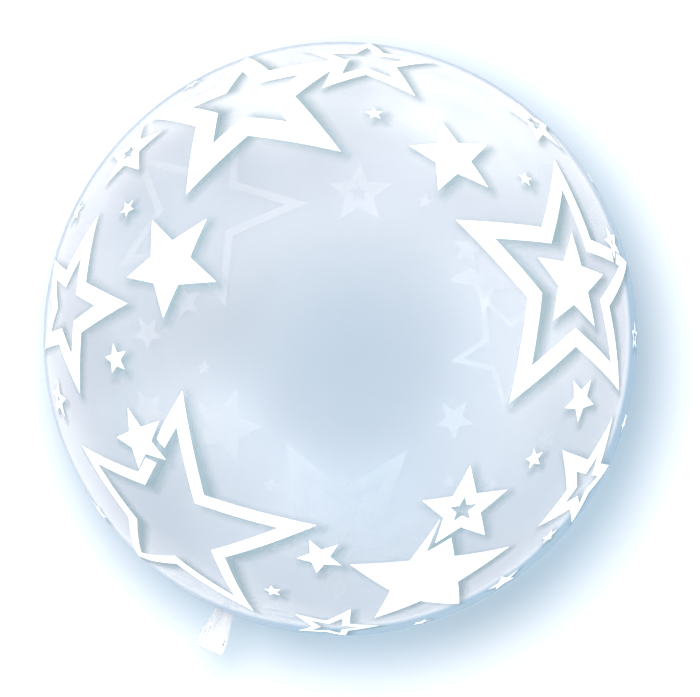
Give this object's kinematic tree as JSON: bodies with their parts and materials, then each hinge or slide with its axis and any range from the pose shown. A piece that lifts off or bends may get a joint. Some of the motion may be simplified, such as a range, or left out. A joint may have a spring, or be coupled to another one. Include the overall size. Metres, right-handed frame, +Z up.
{
  "type": "clear bubble balloon",
  "caption": "Round see-through film balloon printed with white stars, blown up hard, with a gathered neck that ends in a flat sealed tab.",
  "frame": {"origin": "middle of the flat spot that the balloon rests on, at the pole of its blank back face", "axes": "+Z up through the pole of the blank front face, -Y along the neck, +X to the right of the neck seen from its end"},
  "size_m": [0.61, 0.6713, 0.6066],
  "materials": {
    "clear_film": "clear, glossy stretched plastic film with a pale blue cast",
    "white_ink": "opaque white printed ink in flat star shapes on the film"
  },
  "bodies": {
    "root": {"balloon": "clear_film"}
  },
  "joints": []
}
